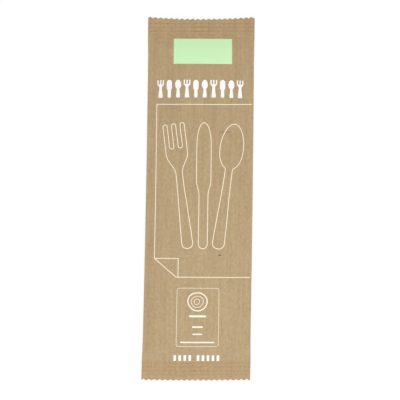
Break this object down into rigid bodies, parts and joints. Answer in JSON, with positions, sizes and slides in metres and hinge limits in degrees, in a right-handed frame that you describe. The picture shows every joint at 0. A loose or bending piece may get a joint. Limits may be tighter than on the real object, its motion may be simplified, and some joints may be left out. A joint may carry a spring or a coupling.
{
  "type": "wooden cutlery pack",
  "caption": "Slim sealed kraft paper sachet that holds disposable wooden cutlery, crimped and zigzag cut at both ends, with a flat back seam.",
  "frame": {"origin": "under the middle of the sachet, on the surface that it lies on", "axes": "+Y along its length towards the top end, +X across it towards the right side as its front is read, +Z out of its printed front"},
  "size_m": [0.0601, 0.2039, 0.007],
  "materials": {
    "kraft_paper": "uncoated brown kraft paper, matte, with fine fibres along its length",
    "green_ink": "flat pale mint-green print on the paper",
    "white_ink": "flat off-white print on the paper"
  },
  "bodies": {
    "root": {"paper_sachet": "kraft_paper"}
  },
  "joints": []
}
